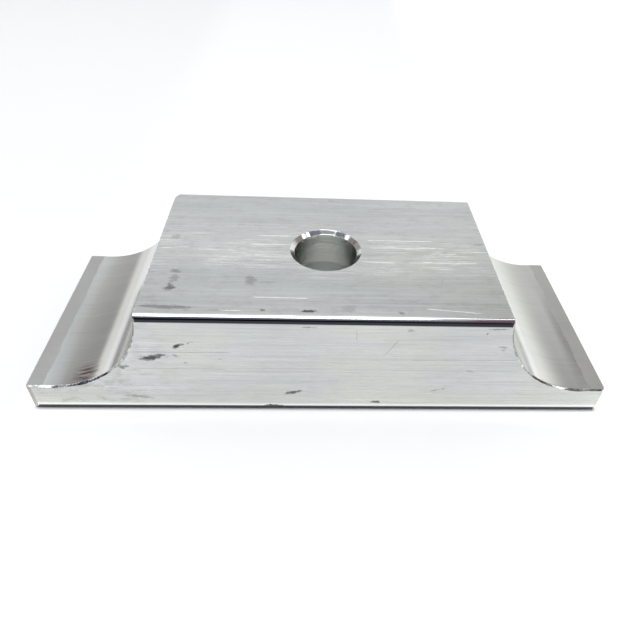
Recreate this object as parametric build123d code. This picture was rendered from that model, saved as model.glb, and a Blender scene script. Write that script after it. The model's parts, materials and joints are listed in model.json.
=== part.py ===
"""Lower clamp block for an engine mount: one piece, milled from extruded flat bar.

The block bridges two parallel frame tubes. Each end is bored to a quarter-round saddle that a tube lies
in, with a thin lip outside it, and one bolt through the middle pulls the block up against the tubes.

Frame: X along the block, from tube to tube. Y along the tubes. Z up, along the bolt.
Origin: the bolt hole's axis at the underside. Millimetres.
"""

from build123d import *
import os

# Tubes that the block holds
TUBE_SPACING = 90.0  # between the two tubes' axes
TUBE_DIAMETER = 32.0

# Bar that the block is cut from
BLOCK_LENGTH = 98.0
BLOCK_DEPTH = 37.5
BLOCK_HEIGHT = 21.0
BAR_EDGE_RADIUS = 1.1  # round long edges left by the extrusion die
END_CORNER_BREAK = 0.4  # broken upright corners at the sawn ends

# Milled ends
SADDLE_FLOOR = 5.5  # wall left under each tube
LIP_STEP = 0.05  # the lip outside each tube stands this much above the saddle's floor
SADDLE_DEBURR = 0.3  # broken edges where the saddles and lips run out at the front and back
TOP_DEBURR = 0.15  # broken edges between the saddles and the top

# Bolt through the middle
BOLT_DIAMETER = 10.0
BOLT_CLEARANCE = 1.0  # on the diameter
HOLE_CHAMFER = 0.75  # countersink at each end of the hole

# Worked out from the sizes above
SADDLE_RADIUS = TUBE_DIAMETER / 2
SADDLE_X = TUBE_SPACING / 2
SADDLE_Z = SADDLE_FLOOR + SADDLE_RADIUS  # height of the tubes' axes
LIP_Z = SADDLE_FLOOR + LIP_STEP
HOLE_RADIUS = (BOLT_DIAMETER + BOLT_CLEARANCE) / 2

# The cutters run out past the bar on every open side
OVERRUN = 1.0
CUT_TOP = max(BLOCK_HEIGHT, SADDLE_Z) + OVERRUN
CUT_END = max(BLOCK_LENGTH / 2, SADDLE_X) + OVERRUN
CUT_HALF_DEPTH = BLOCK_DEPTH / 2 + OVERRUN


def sawn_bar():
    """The bar: a flat section with round corners, drawn along X, its four upright corners broken."""
    section = Plane.YZ * RectangleRounded(BLOCK_DEPTH, BLOCK_HEIGHT, BAR_EDGE_RADIUS)
    bar = Pos(0, 0, BLOCK_HEIGHT / 2) * extrude(section, amount=BLOCK_LENGTH / 2, both=True)
    plan = Rectangle(BLOCK_LENGTH, BLOCK_DEPTH)
    plan = chamfer(plan.vertices(), END_CORNER_BREAK)
    return bar & extrude(plan, amount=BLOCK_HEIGHT)


def cut_rectangle(side, inner_x, bottom_z):
    """The part of a cutter's outline that is open to the end and the top: a corner at inner_x, bottom_z."""
    corner = Align.MIN if side > 0 else Align.MAX
    outline = Rectangle(CUT_END - inner_x, CUT_TOP - bottom_z, align=(corner, Align.MIN))
    return Pos(side * inner_x, bottom_z) * outline


def saddle_cutter(side):
    """What is milled off one end (side is 1 or -1), as one outline drawn along Y.

    The tube's round makes the saddle. Above the tube's axis the wall goes straight up, so the tube can drop
    in, and past its lowest line a flat pass leaves the lip.
    """
    tube = Pos(side * SADDLE_X, SADDLE_Z) * Circle(SADDLE_RADIUS)
    drop_in = cut_rectangle(side, SADDLE_X - SADDLE_RADIUS, SADDLE_Z)
    lip = cut_rectangle(side, SADDLE_X, LIP_Z)
    return extrude(Plane.XZ * (tube + drop_in + lip), amount=CUT_HALF_DEPTH, both=True)


def hole_cutter():
    """The bolt's clearance hole with a countersink at the top and the underside, as one turned form."""
    mouth = HOLE_RADIUS + HOLE_CHAMFER
    half_section = Polyline(
        (0, 0),
        (mouth, 0),
        (HOLE_RADIUS, HOLE_CHAMFER),
        (HOLE_RADIUS, BLOCK_HEIGHT - HOLE_CHAMFER),
        (mouth, BLOCK_HEIGHT),
        (0, BLOCK_HEIGHT),
        close=True,
    )
    return revolve(Plane.XZ * make_face(half_section), Axis.Z)


def milled_block():
    """The bar with its two saddles, their broken edges and the bolt hole."""
    block = sawn_bar()
    for side in (-1, 1):
        block -= saddle_cutter(side)
    front_and_back = block.faces().filter_by(Axis.Y)
    run_outs = front_and_back.edges().filter_by(
        lambda edge: SADDLE_FLOOR < edge.center().Z < BLOCK_HEIGHT - BAR_EDGE_RADIUS
    )
    block = chamfer(run_outs, SADDLE_DEBURR)
    top_face = block.faces().sort_by(Axis.Z)[-1]
    block = chamfer(top_face.edges().filter_by(Axis.Y), TOP_DEBURR)
    return block - hole_cutter()


os.makedirs("parts", exist_ok=True)
export_step(milled_block(), "parts/clamp_block.step")
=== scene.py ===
"""Clamp block for two round tubes: its surface, its finishes and the studio it stands in.

The block is one closed shell. Its cross-section through both saddles is carried through the depth of
the bar. The bar's rounded edges and the hand-broken edges are insets of that section, which fade out
within a millimetre of the two long faces. Flat faces are zipped between outlines, and the bolt hole
is a revolved wall. Lengths are in millimetres until they go into a mesh, a lamp or the camera.
"""
import json

import bmesh
import bpy
import numpy as np
from mathutils import Matrix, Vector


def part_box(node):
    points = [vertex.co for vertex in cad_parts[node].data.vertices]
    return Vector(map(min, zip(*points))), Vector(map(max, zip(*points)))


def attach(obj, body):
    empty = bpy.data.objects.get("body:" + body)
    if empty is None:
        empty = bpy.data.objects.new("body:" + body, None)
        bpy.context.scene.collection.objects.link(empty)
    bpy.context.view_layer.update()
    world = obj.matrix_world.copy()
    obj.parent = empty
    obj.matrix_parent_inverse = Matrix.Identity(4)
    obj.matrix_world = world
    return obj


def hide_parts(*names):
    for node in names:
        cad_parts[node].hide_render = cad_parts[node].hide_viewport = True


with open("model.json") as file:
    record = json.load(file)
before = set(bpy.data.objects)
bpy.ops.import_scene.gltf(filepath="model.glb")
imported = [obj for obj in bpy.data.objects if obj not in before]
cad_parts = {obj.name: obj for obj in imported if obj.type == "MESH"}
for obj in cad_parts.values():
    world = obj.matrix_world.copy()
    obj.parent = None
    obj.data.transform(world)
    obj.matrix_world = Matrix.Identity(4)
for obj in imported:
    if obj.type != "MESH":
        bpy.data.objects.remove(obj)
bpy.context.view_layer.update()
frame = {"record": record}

MM = 0.001
BLOCK = "clamp_block"
MOUNTS = {mount["name"]: mount for mount in frame["record"]["mounts"]}

# The bar and the cuts in it.
END_X, HALF_DEPTH, TOP_Z = (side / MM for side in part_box(BLOCK)[1])
BAR_EDGE_RADIUS = 1.1
TUBE_X = 45.0
SADDLE_RADIUS = 16.0
SADDLE_FLOOR_Z = 5.5
SADDLE_Z = SADDLE_FLOOR_Z + SADDLE_RADIUS
LIP_Z = SADDLE_FLOOR_Z + 0.05
CREASE_X = TUBE_X + np.sqrt(SADDLE_RADIUS**2 - (SADDLE_Z - LIP_Z) ** 2)
BORE_RADIUS = MOUNTS["bolt_hole"]["dims"]["r_mm"]
HOLE_CHAMFER = 0.75

# What the tools and the file left at the edges. A corner is an end, -1 for the left and 1 for the
# right, and a long face, -1 for the front and 1 for the back. A slope is the part taken off a
# corner's end face for each millimetre that it takes off the long face.
EDGE_BREAK = 0.3
TOP_BREAK = 0.12
CORNER_BREAKS = {(-1, -1): 0.85, (1, -1): 0.6, (-1, 1): 0.35, (1, 1): 0.3}
CORNER_SLOPES = {(-1, -1): 2.5, (1, -1): 1.0, (-1, 1): 1.0, (1, 1): 1.0}
KNOCKED_CORNER = (-1, 1)
KNOCK_DEPTH = 1.3
KNOCK_REACH = 2.2
CREASE_WANDER = 0.2
LIP_STEP_FADE = 0.15
CHATTER_LOBES = 17
CHATTER_DEPTH = 0.0605
CHAMFER_OFF_CENTRE = 0.12
ROLLED_RIM = 0.018
BURR = 0.022
BORE_OVAL = 0.13
BORE_RINGS = 22


# ---------------------------------------------------------------------------------------------------
# Surfaces
# ---------------------------------------------------------------------------------------------------

def wander(way, seed, longest, octaves=4):
    """Smooth wandering of about -1 to 1 along a way.

    It is a sum of sines of seeded phase, each half as long as the last.
    """
    dice = np.random.default_rng(seed)
    total = np.zeros_like(way, dtype=float)
    for octave in range(octaves):
        length = longest / 2**octave * dice.uniform(0.8, 1.25)
        total += np.sin(2 * np.pi * (way / length + dice.random())) / 1.5**octave
    return total / 2


def steps(start, stop, count):
    """Points on the straight way from start to stop, one row per station, without the last point."""
    return start + (stop - start) * np.arange(count) / count


class Shell:
    """Gathers points, faces and their finishes, and makes one closed mesh of them."""

    def __init__(self):
        self.points = np.empty((0, 3))
        self.faces = []
        self.finishes = []

    def add_points(self, points):
        """Adds points of any grid shape and returns their numbers in the same shape."""
        numbers = len(self.points) + np.arange(points[..., 0].size).reshape(points.shape[:-1])
        self.points = np.concatenate([self.points, points.reshape(-1, 3)])
        return numbers

    def add_grid(self, numbers, finishes):
        """Four-sided faces between neighbours of a grid; a finish below zero leaves its face out."""
        faces = np.stack([numbers[:-1, :-1], numbers[:-1, 1:], numbers[1:, 1:], numbers[1:, :-1]], -1)
        finishes = np.broadcast_to(finishes, faces.shape[:-1])
        self.faces += faces[finishes >= 0].tolist()
        self.finishes += finishes[finishes >= 0].tolist()

    def zip_lines(self, first, second, first_way, second_way, finish):
        """Flat strip between two lines of points, each with its rising way along the strip.

        Each step along one line makes a triangle with the last point that the other line has reached.
        """
        reached = np.searchsorted(second_way[1:], first_way[1:], side="left")
        along_first = np.stack([first[:-1], first[1:], second[reached]], -1)
        reached = np.searchsorted(first_way[1:], second_way[1:], side="right")
        along_second = np.stack([second[1:], second[:-1], first[reached]], -1)
        triangles = np.concatenate([along_first, along_second])
        whole = (triangles != np.roll(triangles, 1, 1)).all(1)
        self.faces += triangles[whole].tolist()
        self.finishes += [finish] * int(whole.sum())

    def zip_rings(self, outer, inner, finish):
        """Flat ring between two closed outlines round the vertical axis, zipped by the angle about it."""
        lines = []
        ways = []
        for ring in (outer, inner):
            angle = np.arctan2(self.points[ring, 1], self.points[ring, 0])
            order = np.argsort(angle)
            lines.append(np.append(ring[order], ring[order[0]]))
            ways.append(np.append(angle[order], angle[order[0]] + 2 * np.pi))
        self.zip_lines(*lines, *ways, finish)

    def make(self, name, materials, crease_angle, crease_between):
        """One object, its doubles merged, its faces turned outwards and its real edges kept sharp."""
        mesh = bpy.data.meshes.new(name)
        mesh.from_pydata(self.points * MM, [], self.faces)
        mesh.polygons.foreach_set("material_index", self.finishes)
        for material in materials:
            mesh.materials.append(material)
        work = bmesh.new()
        work.from_mesh(mesh)
        unused = [point for point in work.verts if not point.link_faces]
        bmesh.ops.delete(work, geom=unused, context="VERTS")
        bmesh.ops.remove_doubles(work, verts=work.verts, dist=1e-7)
        bmesh.ops.recalc_face_normals(work, faces=work.faces)
        work.to_mesh(mesh)
        work.free()
        mesh.polygons.foreach_set("use_smooth", np.ones(len(mesh.polygons), bool))
        mesh.set_sharp_from_angle(angle=crease_angle)
        keep_crease(mesh, *crease_between)
        piece = bpy.data.objects.new(name, mesh)
        bpy.context.scene.collection.objects.link(piece)
        weigh = piece.modifiers.new("flat faces stay flat", "WEIGHTED_NORMAL")
        weigh.keep_sharp = True
        return piece


def keep_crease(mesh, low_finish, high_finish):
    """Keeps the line sharp where two finishes meet, however small the angle between them."""
    finish = np.empty(len(mesh.polygons), int)
    corners = np.empty(len(mesh.polygons), int)
    edge = np.empty(len(mesh.loops), int)
    sharp = np.empty(len(mesh.edges), bool)
    mesh.polygons.foreach_get("material_index", finish)
    mesh.polygons.foreach_get("loop_total", corners)
    mesh.loops.foreach_get("edge_index", edge)
    mesh.edges.foreach_get("use_edge_sharp", sharp)
    lowest = np.full(len(sharp), high_finish + 1)
    highest = np.full(len(sharp), -1)
    np.minimum.at(lowest, edge, np.repeat(finish, corners))
    np.maximum.at(highest, edge, np.repeat(finish, corners))
    sharp |= (lowest == low_finish) & (highest == high_finish)
    mesh.edges.foreach_set("use_edge_sharp", sharp)


# Finishes of the shell's faces, in the order of its materials.
DRAWN, BORED, LIP, SCRAPED, SAWN, COUNTERSINK, BORE = range(7)
LEFT_OUT = -1

# Points on each stretch of half the section, from the middle of the top round the end to the
# middle of the underside.
STRETCHES = (
    ("top", 44, DRAWN),
    ("top edge", 1, SCRAPED),
    ("saddle", 76, BORED),
    ("lip", 10, LIP),
    ("lip edge", 1, SCRAPED),
    ("end", 8, SAWN),
    ("bottom edge", 1, SCRAPED),
    ("underside", 60, DRAWN),
)
POINTS = {name: count for name, count, _ in STRETCHES}
HALF_POINTS = sum(POINTS.values())
ROUNDING_STEPS = 14
DEPTH_STEPS = 96
HOLE_STEPS = 306


def stations():
    """Depths behind the front face: fine steps round each bar edge, and even ones between."""
    turn = np.linspace(0, np.pi / 2, ROUNDING_STEPS + 1)
    edge = BAR_EDGE_RADIUS * (1 - np.cos(turn))
    middle = np.linspace(BAR_EDGE_RADIUS, 2 * HALF_DEPTH - BAR_EDGE_RADIUS, DEPTH_STEPS + 1)
    return np.concatenate([edge[:-1], middle, (2 * HALF_DEPTH - edge[:-1])[::-1]])


def half_section(depth, side):
    """Half of the cross-section at each depth behind the front face: x and z, one row per station.

    Near a long face, the top and the underside draw in along the bar's edge circle, the saddle and
    the lip draw in along the 45 degree break that was scraped on them, and the end draws in along
    the break of its corner. One corner is knocked: the saddle's mouth there is opened by a bump that
    fades out along the depth and along the arc.
    """
    depth = depth[:, None]
    near = np.minimum(depth, 2 * HALF_DEPTH - depth)
    face = np.where(depth < HALF_DEPTH, -1, 1)
    missing = BAR_EDGE_RADIUS - np.minimum(near, BAR_EDGE_RADIUS)
    rounding = BAR_EDGE_RADIUS - np.sqrt(BAR_EDGE_RADIUS**2 - missing**2)
    corner = np.where(face < 0, CORNER_BREAKS[side, -1], CORNER_BREAKS[side, 1])
    slope = np.where(face < 0, CORNER_SLOPES[side, -1], CORNER_SLOPES[side, 1])
    end_x = END_X - np.maximum(0, corner - near * slope)

    along = np.arange(POINTS["saddle"] + 1) / POINTS["saddle"]
    arc_length = SADDLE_RADIUS * np.pi / 2
    hand = 0.8 + 0.5 * along * wander(along * arc_length + 40 * face, 10 + side, 9.0)
    scraped = np.maximum(0, EDGE_BREAK - near)
    knocked = KNOCK_DEPTH * (face == KNOCKED_CORNER[1]) * (side == KNOCKED_CORNER[0])
    knock = np.maximum(0, 1 - near / KNOCK_REACH) * np.maximum(0, 1 - along * arc_length / KNOCK_REACH)
    radius = SADDLE_RADIUS + scraped * hand + knocked * knock**1.5
    top_z = TOP_Z - rounding
    top_angle = np.arccos((SADDLE_Z - top_z) / radius[:, :1])
    top_x = TUBE_X - radius[:, :1] * np.sin(top_angle) - TOP_BREAK
    crease_x = CREASE_X + CREASE_WANDER * wander(depth, 15 + side, 14.0, 5)
    crease_angle = -np.arcsin((crease_x - TUBE_X) / radius[:, -1:])
    start_angle = top_angle - TOP_BREAK / SADDLE_RADIUS
    angle = start_angle + (crease_angle - start_angle) * along
    saddle_x = TUBE_X - radius * np.sin(angle)
    saddle_z = SADDLE_Z - radius * np.cos(angle)

    lip_z = LIP_Z - scraped * hand[:, -1:]
    lip_x = steps(crease_x, end_x - TOP_BREAK, POINTS["lip"])
    settle = (saddle_z[:, -1:] - lip_z) * np.exp((crease_x - lip_x) / LIP_STEP_FADE)
    stretches = (
        (steps(0, top_x, POINTS["top"]), top_z),
        (top_x, top_z),
        (saddle_x[:, :-1], saddle_z[:, :-1]),
        (lip_x, lip_z + settle),
        (end_x - TOP_BREAK, lip_z),
        (end_x, steps(lip_z - TOP_BREAK, rounding + TOP_BREAK, POINTS["end"])),
        (end_x, rounding + TOP_BREAK),
        (steps(end_x - TOP_BREAK, 0, POINTS["underside"]), rounding),
        (0 * depth, rounding),
    )
    pairs = [np.broadcast_arrays(across, up) for across, up in stretches]
    return [np.concatenate([pair[axis] for pair in pairs], 1) for axis in (0, 1)]


def hole_wall(angle):
    """Radius and height of the hole's wall, a row per ring from the top rim to the bottom rim.

    The countersink is a 45 degree cone whose depth goes up and down with the cutter's chatter, less
    the offset times the sine of the angle. Its top rim is rolled outwards, and a small burr stands
    where it meets the bore. The bore is widest along the bar's depth.
    """
    lobes = CHATTER_LOBES * angle + 1.4 * np.sin(angle + 0.6) + 0.7 * np.sin(3 * angle)
    ragged = 0.7 + 0.45 * np.sin(2 * angle + 1.0) * np.sin(5 * angle)
    chatter = CHATTER_DEPTH * (np.abs(np.sin(lobes / 2)) - 0.6) * ragged
    reach = HOLE_CHAMFER + chatter - CHAMFER_OFF_CENTRE * np.sin(angle)
    bore = BORE_RADIUS + BORE_OVAL * np.sin(angle) ** 2
    foot = TOP_Z - reach
    rolled = ROLLED_RIM * (1 + 0.5 * np.sin(7 * angle) + 0.4 * np.sin(11 * angle + 1.0))
    burr = BURR * (1 + 0.5 * np.sin(9 * angle) + 0.45 * np.sin(23 * angle + 1.0))
    rings = [(bore + reach + rolled, TOP_Z)]
    rings += [(bore + reach * out, foot + reach * out) for out in (0.97, 0.94, 0.6, 0.3)]
    rings += [(bore + burr + out, foot + burr + out) for out in (0.02, 0.0)]
    rings += [(bore + burr * out, foot + burr * high) for out, high in ((0.1, 0.55), (0, 0.4), (0, 0))]
    countersunk = len(rings) - 1
    rings += [(bore, foot - drop) for drop in np.linspace(0.6, 18.0, BORE_RINGS)]
    rings += [(bore, HOLE_CHAMFER), (bore + HOLE_CHAMFER, 0)]
    radius, height = (np.array([ring[axis] + 0 * angle for ring in rings]) for axis in (0, 1))
    bored = len(rings) - 2 - countersunk
    return radius, height, [COUNTERSINK] * countersunk + [BORE] * bored + [COUNTERSINK]


def clamp_block(materials):
    """The whole block: the carried section, the long faces, the top and underside, and the hole."""
    shell = Shell()
    depth = stations()
    right, left = (np.stack(half_section(depth, side), -1) for side in (1, -1))
    section = np.concatenate([right, (left * (-1, 1))[:, -2::-1]], 1)
    y = np.broadcast_to(depth[:, None] - HALF_DEPTH, section.shape[:2])
    belt = shell.add_points(np.stack([section[..., 0], y, section[..., 1]], -1))

    near = np.minimum(depth, 2 * HALF_DEPTH - depth)
    flat = near > BAR_EDGE_RADIUS - 1e-6
    broken = np.maximum(near[:-1], near[1:]) < EDGE_BREAK + 0.04
    half = np.repeat([finish for _, _, finish in STRETCHES], list(POINTS.values()))
    finishes = np.tile(np.concatenate([half, half[::-1]]), (len(depth) - 1, 1))
    finishes[np.outer(broken, np.isin(finishes[0], (BORED, LIP)))] = SCRAPED
    finishes[np.outer(flat[:-1] & flat[1:], finishes[0] == DRAWN)] = LEFT_OUT
    shell.add_grid(belt, finishes)

    turn = np.linspace(0, 2 * np.pi, HOLE_STEPS, endpoint=False)
    radius, height, wall_finishes = hole_wall(turn)
    wall = shell.add_points(np.stack([radius * np.cos(turn), radius * np.sin(turn), height], -1))
    shell.add_grid(np.concatenate([wall, wall[:, :1]], 1), np.array(wall_finishes)[:, None])

    def over(point):
        """Columns of the belt over the top, from a point on the left half to its twin on the right."""
        return np.r_[-1 - point:-1, 0:point + 1]

    def under(point):
        """Columns of the belt under the block, from a point on the right half to its twin on the left."""
        return np.r_[point:2 * HALF_POINTS - point + 1]

    for columns, rim in ((over(POINTS["top"]), wall[0]),
                         (under(HALF_POINTS - POINTS["underside"]), wall[-1])):
        field = belt[np.ix_(np.flatnonzero(flat), columns)]
        outline = np.concatenate([field[0], field[1:-1, -1], field[-1, ::-1], field[-2:0:-1, 0]])
        shell.zip_rings(outline, rim, DRAWN)

    lip_end = POINTS["top"] + POINTS["top edge"] + POINTS["saddle"] + POINTS["lip"]
    for row in (0, -1):
        upper = belt[row, over(lip_end)]
        lower = belt[row, under(lip_end)][::-1]
        upper_x = shell.points[upper, 0]
        lower_x = shell.points[lower, 0]
        # The points of one end share one x, so their height makes the way along them rise too.
        down_ends = np.sign(lower_x) * shell.points[lower, 2] / 10
        shell.zip_lines(upper, lower, upper_x, lower_x + down_ends, DRAWN)
    return shell.make("block", materials, crease_angle=np.radians(28), crease_between=(BORED, LIP))


# ---------------------------------------------------------------------------------------------------
# Shader maths
# ---------------------------------------------------------------------------------------------------

class Wire:
    """A socket on its way through a node tree; an operator on it adds the Math node it stands for."""

    def __init__(self, board, socket):
        self.board = board
        self.socket = socket

    def __add__(self, other):
        return self.board.maths("ADD", self, other)

    def __radd__(self, other):
        return self.board.maths("ADD", other, self)

    def __sub__(self, other):
        return self.board.maths("SUBTRACT", self, other)

    def __rsub__(self, other):
        return self.board.maths("SUBTRACT", other, self)

    def __mul__(self, other):
        return self.board.maths("MULTIPLY", self, other)

    def __truediv__(self, other):
        return self.board.maths("DIVIDE", self, other)

    def __pow__(self, other):
        return self.board.maths("POWER", self, other)

    def __abs__(self):
        return self.board.maths("ABSOLUTE", self)

    def at_least(self, other):
        return self.board.maths("MAXIMUM", self, other)

    def at_most(self, other):
        return self.board.maths("MINIMUM", self, other)

    def within(self):
        """The value held between 0 and 1."""
        return self.at_least(0.0).at_most(1.0)

    def rise(self, low, high):
        """0 below low and 1 above high, with a soft slope between."""
        return self.board.node("MapRange", {"interpolation_type": "SMOOTHSTEP"},
                               {"Value": self, "From Min": low, "From Max": high})

    def near(self, middle, reach):
        """1 at the middle, falling softly to 0 at a reach on either side."""
        return 1 - abs(self - middle).rise(0.0, reach)


class Board:
    """The node tree of a material, or of the world, where a finish is put together."""

    def __init__(self, tree):
        self.tree = tree
        tree.nodes.clear()

    def node(self, kind, settings=None, inputs=None, output=0):
        """One node: first its settings, then the values or wires of its sockets. Gives an output."""
        made = self.tree.nodes.new("ShaderNode" + kind)
        for name, value in (settings or {}).items():
            setattr(made, name, value)
        for name, value in (inputs or {}).items():
            if isinstance(value, Wire):
                self.tree.links.new(value.socket, made.inputs[name])
            else:
                made.inputs[name].default_value = value
        return Wire(self, made.outputs[output] if len(made.outputs) else None)

    def maths(self, operation, *values):
        """A Math node over numbers or wires."""
        return self.node("Math", {"operation": operation}, dict(enumerate(values)))

    def vector(self, operation, *values):
        """A Vector Math node over vectors or wires."""
        return self.node("VectorMath", {"operation": operation}, dict(enumerate(values)))

    def split(self, vector):
        """The three numbers of a vector."""
        return [self.node("SeparateXYZ", inputs={"Vector": vector}, output=axis) for axis in range(3)]

    def mix(self, factor, first, second):
        """The first colour where the factor is 0, and the second where it is 1."""
        return self.node("Mix", {"data_type": "RGBA"}, {0: factor, 6: first, 7: second}, 2)

    def noise(self, place, size, stretch=(1, 1, 1), detail=2.0, roughness=0.5):
        """Cloudy value about 0.5 whose features are of a size in millimetres, longer where stretched."""
        frequency = tuple(1 / (size * along) for along in stretch)
        return self.node("TexNoise", inputs={"Vector": self.vector("MULTIPLY", place, frequency),
                                             "Scale": 1.0, "Detail": detail, "Roughness": roughness})

    def bands(self, way, detail=3.0):
        """Uneven bands along a way, about one for each unit of it."""
        return self.node("TexNoise", {"noise_dimensions": "1D"},
                         {"W": way, "Scale": 1.0, "Detail": detail})


def metal(name, describe, grain=0.0, grain_turn=0.0):
    """A bare metal material. describe gives its colour, roughness, bump height and share of metal."""
    material = bpy.data.materials.new(name)
    material.use_nodes = True
    board = Board(material.node_tree)
    place = board.vector("SCALE", board.node("TexCoord", output="Object"))
    place.socket.node.inputs["Scale"].default_value = 1 / MM
    colour, roughness, height, metallic = describe(board, place)
    normal = board.node("Bump", inputs={"Strength": 1.0, "Distance": MM, "Height": height})
    surface = board.node("BsdfPrincipled", inputs={
        "Base Color": colour, "Metallic": metallic, "Roughness": roughness, "Normal": normal,
        "Anisotropic": grain, "Anisotropic Rotation": grain_turn})
    board.node("OutputMaterial", inputs={"Surface": surface})
    return material


# ---------------------------------------------------------------------------------------------------
# Marks of handling. Places are on the top (x, y) or on the front face (x, z).
# ---------------------------------------------------------------------------------------------------

# Middle, half size, slope and strength of each dark oily spot.
TOP_SPOTS = (
    (-24.8, -11.6, 0.95, 1.1, 0.0, 0.8),
    (-24.5, -9.4, 0.8, 1.5, 0.0, 0.42),
    (-24.6, -7.3, 1.1, 0.6, -0.2, 0.5),
    (-26.2, 2.9, 1.0, 0.9, 0.0, 0.35),
    (-12.3, -9.5, 1.1, 1.5, 0.0, 0.45),
    (-9.5, -9.9, 1.6, 0.4, 0.0, 0.25),
    (-24.8, -16.35, 5.6, 0.5, -0.03, 0.6),
    (-17.0, -16.9, 2.2, 0.3, 0.0, 0.3),
    (-21.4, -17.1, 0.5, 0.4, 0.0, 0.3),
    (-2.9, -16.9, 1.6, 0.35, 0.0, 0.95),
    (-10.0, -16.8, 0.4, 0.4, 0.0, 0.7),
    (11.2, -17.1, 0.4, 0.5, 0.0, 0.55),
    (3.3, -16.2, 1.3, 1.0, 0.0, 0.3),
    (1.4, 16.7, 0.6, 0.4, 0.0, 0.3),
    (27.8, 2.5, 1.6, 0.35, 0.0, 0.4),
)
FRONT_SPOTS = (
    (-27.4, 12.55, 2.3, 0.62, 0.20, 0.9),
    (-26.0, 13.0, 1.0, 0.38, 0.15, 0.75),
    (-28.6, 12.2, 0.8, 0.30, 0.20, 0.5),
    (-23.8, 12.95, 0.55, 0.30, 0.0, 0.4),
    (-23.0, 15.1, 1.1, 0.38, 0.4, 0.95),
    (-21.3, 15.8, 0.8, 0.14, 0.3, 0.45),
    (-32.1, 10.3, 1.1, 0.50, 0.0, 0.55),
    (-22.2, 11.4, 0.5, 0.20, 0.0, 0.3),
    (-16.8, 12.3, 0.6, 0.20, 0.0, 0.25),
    (-31.1, 3.3, 2.4, 0.40, -0.1, 0.4),
    (-34.8, 5.3, 0.7, 0.20, -0.15, 0.4),
    (-5.3, 4.5, 1.9, 0.30, 0.2, 0.8),
    (-8.8, 1.2, 1.9, 0.25, 0.0, 0.9),
    (-3.0, 19.3, 1.3, 0.12, 0.0, 0.5),
    (8.8, 2.2, 0.9, 0.35, 0.0, 0.85),
    (25.2, 18.4, 0.22, 0.20, 0.0, 0.8),
    (26.8, 19.4, 2.0, 0.15, 0.0, 0.5),
    (28.2, 15.6, 0.9, 0.20, -0.15, 0.5),
    (28.5, 15.0, 0.5, 0.15, 0.3, 0.4),
    (30.6, 14.6, 0.3, 0.70, 0.0, 0.6),
    (31.3, 13.4, 0.25, 0.40, 0.0, 0.6),
    (32.5, 11.8, 0.3, 0.25, 0.0, 0.6),
    (19.4, 5.4, 1.5, 0.15, 0.4, 0.35),
    (23.9, 10.0, 0.4, 0.20, 0.0, 0.45),
    (12.9, 18.9, 0.35, 0.40, 0.0, 0.3),
)
# Start, end, half width and strength of each single scratch: bright above 0, dark below.
TOP_SCRATCHES = (
    (7.3, 3.0, 19.4, 3.1, 0.13, 1.0),
    (7.5, 0.6, 21.8, 0.9, 0.12, 0.75),
    (6.0, -3.6, 12.2, -3.8, 0.14, 1.0),
    (13.7, -3.7, 26.5, -3.5, 0.12, 0.8),
    (15.2, -15.9, 24.3, -16.9, 0.11, 1.0),
    (16.2, 1.1, 19.9, 1.0, 0.10, 0.8),
    (15.3, -5.6, 16.5, -5.7, 0.13, 0.8),
    (-12.3, 3.8, -6.1, 3.9, 0.14, 1.0),
    (-13.3, 1.0, -5.8, 1.1, 0.12, 0.9),
    (-12.6, -3.7, -8.8, -3.7, 0.14, 0.8),
    (-10.2, -5.6, -7.9, -5.7, 0.10, 0.7),
    (-11.8, -13.7, -2.7, -13.8, 0.13, 1.0),
    (-28.5, -0.7, -23.3, -0.1, 0.12, 0.8),
    (-16.7, -17.0, -12.9, -17.0, 0.14, 0.8),
    (13.7, -8.3, 28.4, -8.0, 0.12, -0.35),
    (19.5, -7.9, 18.7, -10.1, 0.12, -0.3),
)
FRONT_SCRATCHES = (
    (9.2, 13.3, 11.5, 17.2, 0.08, -0.6),
    (4.5, 19.4, 4.7, 16.3, 0.08, -0.4),
    (-30.4, 13.7, -15.0, 13.8, 0.06, -0.8),
    (-31.1, 10.1, -15.9, 10.0, 0.06, -0.6),
    (8.6, 16.9, 26.8, 17.2, 0.05, -0.5),
    (13.7, 12.5, 31.4, 12.7, 0.055, -0.7),
    (10.3, 10.0, 32.0, 10.2, 0.05, -0.6),
)


def spots(across, up, marks, ragged):
    """Darkness of ragged sloping ovals: each fades with the distance from its middle in half sizes."""
    ground = 1.35 - ragged * 1.4
    total = None
    for middle_x, middle_y, half_x, half_y, slope, strength in marks:
        aside = across - middle_x
        away = (aside / half_x) ** 2 + ((up - middle_y - aside * slope) / half_y) ** 2
        mark = (ground - away * 0.55).rise(0.0, 0.6) * strength
        total = mark if total is None else total.at_least(mark)
    return total


def scratches(across, up, marks, ragged):
    """Depth of single straight scratches, bright ones above 0 and dark ones below."""
    broken = (ragged * 2.6 - 0.5).within()
    total = None
    for start_x, start_y, end_x, end_y, half_width, strength in marks:
        length = np.hypot(end_x - start_x, end_y - start_y)
        run_x, run_y = (end_x - start_x) / length, (end_y - start_y) / length
        along = (across - start_x) * run_x + (up - start_y) * run_y
        aside = (across - start_x) * -run_y + (up - start_y) * run_x
        line = aside.near(0.0, half_width) * along.rise(0.0, 0.8) * (length - along).rise(0.0, 0.8)
        total = line * strength if total is None else total + line * strength
    return total * broken


# ---------------------------------------------------------------------------------------------------
# Finishes
# ---------------------------------------------------------------------------------------------------

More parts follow.
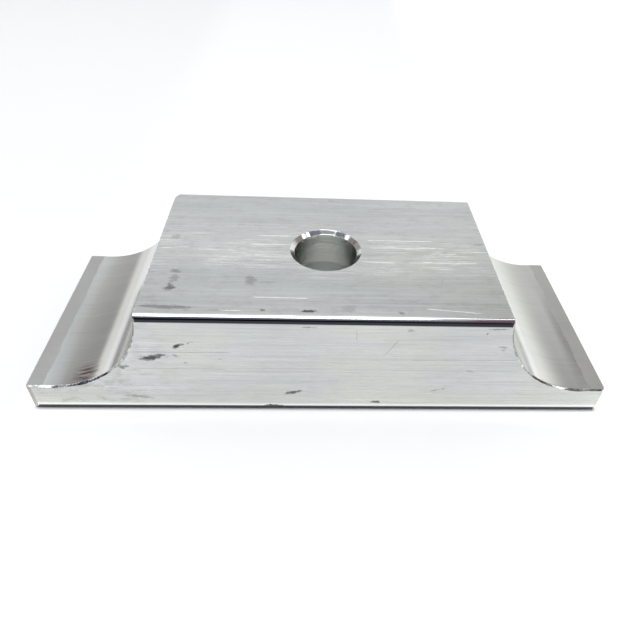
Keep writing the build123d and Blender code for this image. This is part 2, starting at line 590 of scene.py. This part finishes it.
def drawn(board, place):
    """Drawn bar: die lines along its length, bright burnished corners, handling marks and oil."""
    across, depth, up = board.split(place)
    long = (60, 1, 1)
    fine = board.noise(place, 0.40, long, 4.0, 0.7)
    broad = board.noise(place, 3.2, (25, 1, 1), 2.0)
    hair = board.noise(place, 0.14, (140, 1, 1), 2.0, 0.6)
    cloud = board.noise(place, 13.0, (2, 1, 1), 3.0)
    ragged = board.noise(place, 0.45, (1.6, 1, 1), 4.0, 0.7)
    astray = (board.noise(place, 1.1, (2, 1, 1), 4.0, 0.8) - 0.5) * 3.0
    blot_across, blot_depth, blot_up = across + astray, depth - astray * 0.4, up - astray * 0.35

    # Parts of the surface: the two flats that were handled, and the bar's four rounded corners.
    on_front = 1 - depth.rise(0.01 - HALF_DEPTH, 0.02 - HALF_DEPTH)
    on_top = up.rise(TOP_Z - 0.1, TOP_Z - 0.05)
    rounding_y = HALF_DEPTH - BAR_EDGE_RADIUS
    rounding_z = TOP_Z / 2 - BAR_EDGE_RADIUS
    from_middle = abs(up - TOP_Z / 2)
    corner = abs(depth).rise(rounding_y - 0.05, rounding_y + 0.12)
    corner = corner * from_middle.rise(rounding_z, rounding_z + 0.1)

    # Painted light: a dark reflection on each rounding, shade along the foot, and a highlight low on the
    # front.
    low = TOP_Z / 2 - from_middle
    on_rounding = abs(depth).rise(HALF_DEPTH - 0.62, HALF_DEPTH - 0.45)
    dark_band_end = 0.9 + up.rise(10.0, 11.0) * 0.12
    painted_dark_band = low.rise(0.36, 0.50) * (1 - low.rise(dark_band_end, dark_band_end + 0.2)) * on_rounding
    painted_foot_shade = (1 - up.rise(0.9, 1.3)) * up.rise(0.02, 0.03)
    painted_foot_highlight = (1 - up.rise(1.25, 2.0)) * on_front * 0.75

    # Handling: oil, single scratches, and a band on the top that was rubbed bright.
    oil = spots(blot_across, blot_depth, TOP_SPOTS, ragged) * on_top
    oil = oil + spots(blot_across, blot_up, FRONT_SPOTS, ragged) * on_front
    scratch = scratches(across, depth, TOP_SCRATCHES, ragged) * on_top
    scratch = scratch + scratches(across, up, FRONT_SCRATCHES, ragged) * on_front
    rubbed = board.noise(place, 0.13, (40, 1, 1), 3.0, 0.75).rise(0.53, 0.62)
    rubbed = rubbed * board.noise(place, 5.0, (2.0, 1, 1), 2.0).rise(0.36, 0.56)
    rubbed = rubbed * depth.near(-1.5, 10.0) * on_top

    # Colour, from the bare metal outwards.
    lines = (fine - 0.5) * 0.9 + (broad - 0.5) * 0.7 + (hair - 0.5) * 1.3
    # The top is lighter across the middle of its depth and darker towards its front and back.
    top_middle_lighter = depth.near(3.0, 15.0) * on_top * 0.22
    # The front is darker all over, and painted shade makes it darker towards its top and its right.
    front_tone_and_painted_shade = on_front * (0.13 + up.rise(2.0, 12.0) * 0.05 + across.rise(0.0, 40.0) * 0.10)
    shade = (0.5 + lines * 0.65 + (cloud - 0.5) * 0.5 + top_middle_lighter - front_tone_and_painted_shade).within()
    colour = board.mix(shade, (0.48, 0.495, 0.50, 1), (0.85, 0.855, 0.84, 1))
    patches = board.noise(place, 7.0, (2.5, 1, 1), 4.0, 0.6).rise(0.42, 0.62)
    # Warm patches are the metal's own; the warmth low on the front is a painted reflection of the sheet.
    warm_front = (patches * 0.09 + (1 - up.rise(1.0, 7.0)) * 0.05) * on_front
    warm_top = patches * on_top * across.rise(0.0, 20.0) * depth.near(-6.0, 14.0) * 0.2
    colour = board.mix(warm_front + warm_top, colour, (0.76, 0.74, 0.42, 1))
    soiled = board.noise(place, 1.6, (2.0, 1, 1), 5.0, 0.75).rise(0.46, 0.72) * 0.55
    soiled = soiled * (on_front * (1.25 - across.rise(-36.0, -22.0)) + on_top * 0.45)
    by_end = abs(across).rise(END_X - 0.5, END_X - 0.35) * (1 - up.rise(6.0, 7.0))
    colour = board.mix((soiled + by_end * 0.8).within(), colour, (0.36, 0.33, 0.30, 1))
    bright = (rubbed * 0.95 + scratch * 1.6).within()
    # Brightened where rubbed or scratched, and low on the front by a painted highlight.
    colour = board.mix((bright + painted_foot_highlight).within(), colour, (0.99, 0.99, 0.96, 1))
    dark = (oil + (0 - scratch).at_least(0.0)).within()
    colour = board.mix(dark, colour, (0.045, 0.043, 0.048, 1))
    # Painted reflection: a purplish tint on the top front rounding at the right end.
    painted_corner_reflection = corner * low.rise(0.10, 0.20) * across.rise(20.5, 24.0) * (1 - depth.rise(-2.0, 0.0))
    painted_corner_reflection = painted_corner_reflection * up.rise(10.0, 11.0)
    colour = board.mix(painted_corner_reflection * 0.8, colour, (0.60, 0.38, 0.42, 1))
    # Painted dark reflection on the roundings and painted shade along the foot.
    colour = board.mix((painted_dark_band + painted_foot_shade).within() * 0.97, colour, (0.022, 0.024, 0.034, 1))
    roughness = 0.27 + lines * 0.10 + dark * 0.3 - corner * 0.17 - painted_foot_highlight * 0.1
    height = (fine * 0.0050 + hair * 0.0016 + broad * 0.006) * (1 - corner * 0.8) - abs(scratch) * 0.004
    return colour, roughness.within(), height, 1 - (dark + bright).within() * 0.75


def bored(board, place):
    """Bored saddle: fine tool lines round the tube's axis, so each line keeps one depth in the bar."""
    across, depth = board.split(place)[:2]
    ring = (90, 1, 90)
    fine = board.noise(place, 0.14, ring, 3.0, 0.6)
    broad = board.noise(place, 2.4, (60, 1, 60), 2.0)
    cloud = board.noise(place, 9.0, (1, 1.5, 1), 3.0)
    stain = board.noise(place, 0.5, (12, 1, 12), 3.0, 0.7).rise(0.42, 0.62)
    stain = (stain * depth.near(-16.8, 3.2) * across.near(-39.6, 3.0) * 1.6).within()
    shade = (0.5 + (fine - 0.5) * 0.7 + (broad - 0.5) * 0.35 + (cloud - 0.5) * 0.4).within()
    colour = board.mix(shade, (0.62, 0.623, 0.611, 1), (0.82, 0.825, 0.81, 1))
    colour = board.mix(stain, colour, (0.17, 0.10, 0.07, 1))
    roughness = 0.14 + (fine - 0.5) * 0.08 + stain * 0.2
    height = fine * 0.0022 + broad * 0.001
    return colour, roughness.within(), height, 1.0


def milled_lip(board, place):
    """Milled lip: a dull flat with feed lines along the bar."""
    fine = board.noise(place, 0.35, (14, 1, 14), 3.0, 0.65)
    cloud = board.noise(place, 5.0, (1, 2, 1), 3.0)
    shade = (0.5 + (fine - 0.5) * 0.5 + (cloud - 0.5) * 0.6).within()
    colour = board.mix(shade, (0.50, 0.49, 0.482, 1), (0.68, 0.675, 0.665, 1))
    return colour, (0.30 + (fine - 0.5) * 0.1).within(), fine * 0.003, 1.0


def scraped(board, place):
    """Edge broken by hand: bright, with short chatter across it and dark speckles from 7 mm up."""
    chips = board.noise(place, 0.4, detail=3.0)
    colour = board.mix(chips.rise(0.36, 0.60), (0.34, 0.34, 0.35, 1), (0.88, 0.88, 0.88, 1))
    up = board.split(place)[2]
    high_dark_speckles = board.noise(place, 0.7, detail=4.0, roughness=0.7).rise(0.40, 0.60) * up.rise(7.0, 9.0)
    colour = board.mix(high_dark_speckles * 0.75, colour, (0.16, 0.155, 0.15, 1))
    return colour, (0.16 + chips * 0.12).within(), chips * 0.012, 1.0


def sawn(board, place):
    """Sawn end: close upright blade lines over a satin ground, duller at the front corner."""
    depth = board.split(place)[1]
    lines = board.noise(place, 0.28, (1, 1, 30), 3.0, 0.7)
    broad = board.noise(place, 2.0, (1, 1, 6), 2.0)
    shade = (0.5 + (lines - 0.5) * 0.8 + (broad - 0.5) * 0.5).within()
    colour = board.mix(shade, (0.40, 0.385, 0.375, 1), (0.66, 0.65, 0.64, 1))
    front_corner = (0 - depth).rise(HALF_DEPTH - 0.42, HALF_DEPTH - 0.34)
    colour = board.mix(front_corner * 0.75, colour, (0.40, 0.345, 0.32, 1))
    return colour, (0.34 + (lines - 0.5) * 0.15).within(), lines * 0.010, 1.0


def countersunk(board, place):
    """Countersink: bright cut metal with rings round the hole."""
    across, depth = board.split(place)[:2]
    rings = board.bands((across**2 + depth**2) ** 0.5 * 7)
    colour = board.mix(rings, (0.70, 0.70, 0.71, 1), (0.92, 0.92, 0.92, 1))
    return colour, (0.12 + (rings - 0.5) * 0.08).within(), rings * 0.004, 1.0


def bore_wall(board, place):
    """Drilled bore: tool rings with a slow drift down the wall, and a band of painted shade low in the
    wall.
    """
    across, depth, up = board.split(place)
    rings = board.bands(up * 2 + (across + depth) * 0.03)
    feed = board.bands(up * 16, detail=1.0)
    cloud = board.noise(place, 3.0, detail=3.0)
    shade = (0.5 + (rings - 0.5) * 0.9 + (cloud - 0.5) * 0.5).within()
    colour = board.mix(shade, (0.86, 0.88, 0.84, 1), (0.94, 0.945, 0.92, 1))
    # Painted shade: a darker band low in the bore, where it is deep.
    painted_deep_shade = (up + (rings - 0.5) * 2).near(12.8, 2.6).rise(0.0, 0.5)
    colour = board.mix(painted_deep_shade * 0.9, colour, (0.54, 0.57, 0.58, 1))
    return colour, (0.14 + (rings - 0.5) * 0.1).within(), rings * 0.004 + feed * 0.03, 1.0


# In the order of the finishes' numbers.
MATERIALS = [
    metal("drawn_bar", drawn),
    metal("bored_saddle", bored),
    metal("milled_lip", milled_lip),
    metal("scraped_edge", scraped),
    metal("sawn_end", sawn),
    metal("cut_countersink", countersunk),
    metal("drilled_bore", bore_wall, 0.9, 0.25),
]
block = clamp_block(MATERIALS)
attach(block, "root")
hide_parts(BLOCK)


# ---------------------------------------------------------------------------------------------------
# Studio
# ---------------------------------------------------------------------------------------------------

def make_floor(half_size):
    """A flat white sheet under the block. It glows a little as painted light: more to the right, less to
    the left, and most beside the block, a painted pool of light. Under the block its glow is painted out
    as shadow, except a faint glow inside the bore.
    """
    mesh = bpy.data.meshes.new("floor")
    corners = np.array([(-1, -1, 0), (1, -1, 0), (1, 1, 0), (-1, 1, 0)]) * half_size * MM
    mesh.from_pydata(corners.tolist(), [], [(0, 1, 2, 3)])
    floor = bpy.data.objects.new("floor", mesh)
    bpy.context.scene.collection.objects.link(floor)
    material = bpy.data.materials.new("white_sheet")
    material.use_nodes = True
    board = Board(material.node_tree)
    paper = board.node("BsdfDiffuse", inputs={"Color": (0.90, 0.905, 0.91, 1)})
    across, depth = (way / MM for way in board.split(board.node("TexCoord", output="Object"))[:2])
    from_block = (abs(across) - END_X).at_least(abs(depth) - HALF_DEPTH)
    # Painted light: the glow is stronger to the right and weaker to the left.
    shine = board.mix(across.rise(38, 60), (0.12, 0.125, 0.128, 1), (0.30, 0.30, 0.29, 1))
    shine = board.mix((0 - across).rise(38, 60), shine, (0.07, 0.074, 0.075, 1))
    # Painted pool of light along the block's sides.
    shine = board.mix((1 - from_block.rise(0.0, 4.0)) * 0.5, shine, (0.62, 0.62, 0.61, 1))
    # Painted shadow under the block, with a faint glow where the bore opens onto the sheet.
    in_bore = 1 - (across**2 + depth**2).rise(24.0, 30.0)
    covered = board.mix(in_bore, (0, 0, 0, 1), (0.07, 0.075, 0.07, 1))
    shine = board.mix(from_block.rise(-0.2, 0.5), covered, shine)
    glow = board.node("Emission", inputs={"Color": shine})
    surface = board.node("AddShader", inputs={0: paper, 1: glow})
    board.node("OutputMaterial", inputs={"Surface": surface})
    mesh.materials.append(material)


def make_surroundings():
    """The room as light from each direction.

    A grey wall stands behind, dimmer beside, with a cabinet and a shelf in it. The near side is dark,
    with a bright window at each end. The white sheet fills the lower half.
    """
    world = bpy.data.worlds.new("room")
    world.use_nodes = True
    board = Board(world.node_tree)
    side, away, up = board.split(board.node("TexCoord", output="Generated"))
    level = (side**2 + away**2) ** 0.5
    turn = side / level
    ahead = away / level

    # The far side: the wall behind and beside, the ceiling, a cabinet high on the right, a shelf low.
    beside = (abs(turn) + turn.at_most(0.0) * 0.12).rise(0.28, 0.5)
    beside_high = board.mix(turn.rise(-0.2, 0.2), (0.60, 0.62, 0.64, 1), (0.31, 0.305, 0.30, 1))
    beside_high = board.mix(turn.rise(0.49, 0.55), beside_high, (0.40, 0.395, 0.39, 1))
    beside_low = board.mix(turn.rise(-0.2, 0.2), (0.52, 0.515, 0.51, 1), (0.66, 0.66, 0.655, 1))
    beside_low = board.mix(abs(turn).rise(0.5, 0.8), beside_low, (0.33, 0.328, 0.324, 1))
    low = board.mix(beside, (0.74, 0.76, 0.77, 1), beside_low)
    high = board.mix(beside, (0.645, 0.665, 0.675, 1), beside_high)
    room = board.mix(up.rise(0.56, 0.66), low, high)
    room = board.mix((up - side.rise(0.1, 0.4) * 0.03).rise(0.66, 0.82), room, (0.90, 0.92, 0.92, 1))
    cabinet = side.rise(0.24, 0.32) * up.rise(0.84, 0.88)
    room = board.mix(cabinet, room, (0.15, 0.11, 0.125, 1))
    shelf = abs(turn).rise(0.88, 0.92) * up.rise(0.1, 0.2) * (1 - up.rise(0.50, 0.60))
    room = board.mix(shelf, room, (0.20, 0.155, 0.12, 1))

    # The near side: dark, lighter towards the ceiling, with a window at each end.
    near_side = board.mix(turn.rise(0.18, 0.4), (0.03, 0.04, 0.075, 1), (0.13, 0.085, 0.095, 1))
    near_side = board.mix(up.rise(0.45, 0.70), near_side, (0.18, 0.19, 0.23, 1))
    near_side = board.mix(up.rise(0.80, 0.92), near_side, (0.5, 0.5, 0.52, 1))
    near_side = board.mix(cabinet, near_side, (0.15, 0.11, 0.125, 1))
    sill = (up - turn.at_least(0.0) * 0.10).rise(0.45, 0.48)
    window = abs(turn).rise(0.935, 0.95) * sill * (1 - up.rise(0.66, 0.72))
    near_side = board.mix(window, near_side, (3.6, 3.6, 3.7, 1))
    room = board.mix((0 - ahead).rise(-0.04, 0.04), room, near_side)

    # A narrow bright slit high on the right of the near side.
    glint = (away + 0.3 - (side - 0.265) * 3).near(0.0, 0.07)
    glint = glint * side.near(0.31, 0.09) * up.rise(0.5, 0.6)
    room = board.mix(glint, room, (1.8, 1.8, 1.8, 1))

    # The sheet's own light, which reaches higher and softer to the right, and a dark rail beside it.
    right = side.rise(-0.2, 0.5)
    sheet_top = 0.13 + right * 0.19
    sheet_blur = 0.03 + right * 0.25
    sheet = 1 - ((up - sheet_top) / sheet_blur).rise(-1.0, 1.0)
    sheet_tone = board.mix(right, (0.89, 0.885, 0.86, 1), (1.04, 1.05, 1.01, 1))
    room = board.mix(sheet, room, sheet_tone)
    rail = (0 - ahead).rise(0.02, 0.08) * turn.rise(0.80, 0.88)
    rail = rail * (1 - up.rise(0.30, 0.40)) * up.rise(-0.25, -0.2)
    room = board.mix(rail, room, (0.12, 0.10, 0.085, 1))
    surface = board.node("Background", inputs={"Color": room, "Strength": 1.0})
    board.node("OutputWorld", inputs={"Surface": surface})
    bpy.context.scene.world = world


def make_softbox(name, middle, size, radiance, colour):
    """A rectangular lamp that shines downwards with a given brightness of its face."""
    lamp = bpy.data.lights.new(name, "AREA")
    lamp.shape = "RECTANGLE"
    lamp.size, lamp.size_y = (length * MM for length in size)
    lamp.energy = radiance * np.pi * lamp.size * lamp.size_y
    lamp.color = colour
    holder = bpy.data.objects.new(name, lamp)
    holder.location = [place * MM for place in middle]
    bpy.context.scene.collection.objects.link(holder)


# The camera's turn to the left, its tilt and its roll are in degrees.
CAMERA_PLACE = (-3.2, -82.1, 76.2)
CAMERA_TURN = -4.745
CAMERA_DOWN = 41.798
CAMERA_ROLL = 3.94
LENS = 31.48
SHIFT = (-0.03285, 0.0120)


def make_camera():
    """The camera at its place, turned about the vertical, tilted down and rolled about its own axis."""
    turn, down, roll = np.radians([CAMERA_TURN, CAMERA_DOWN, CAMERA_ROLL])
    view = np.array([-np.sin(turn) * np.cos(down), np.cos(turn) * np.cos(down), -np.sin(down)])
    level = np.array([np.cos(turn), np.sin(turn), 0])
    upward = np.cross(level, view)
    right = np.cos(roll) * level + np.sin(roll) * upward
    top = np.cos(roll) * upward - np.sin(roll) * level
    pose = Matrix.Identity(4)
    for column, axis in enumerate((right, top, -view, np.array(CAMERA_PLACE) * MM)):
        for row in range(3):
            pose[row][column] = axis[row]
    lens = bpy.data.cameras.new("camera")
    lens.lens = LENS
    lens.shift_x, lens.shift_y = SHIFT
    lens.clip_start = 0.001
    camera = bpy.data.objects.new("camera", lens)
    camera.matrix_world = pose
    bpy.context.scene.collection.objects.link(camera)
    bpy.context.scene.camera = camera


make_floor(1500)
make_surroundings()
make_softbox("overhead", (-90, -150, 900), (600, 580), 4.2, (1.0, 0.995, 0.985))
make_softbox("tube", (360, 60, 900), (280, 110), 3.0, (1.0, 0.995, 0.985))
make_camera()
bpy.context.scene.view_settings.view_transform = "Standard"

bpy.context.view_layer.update()
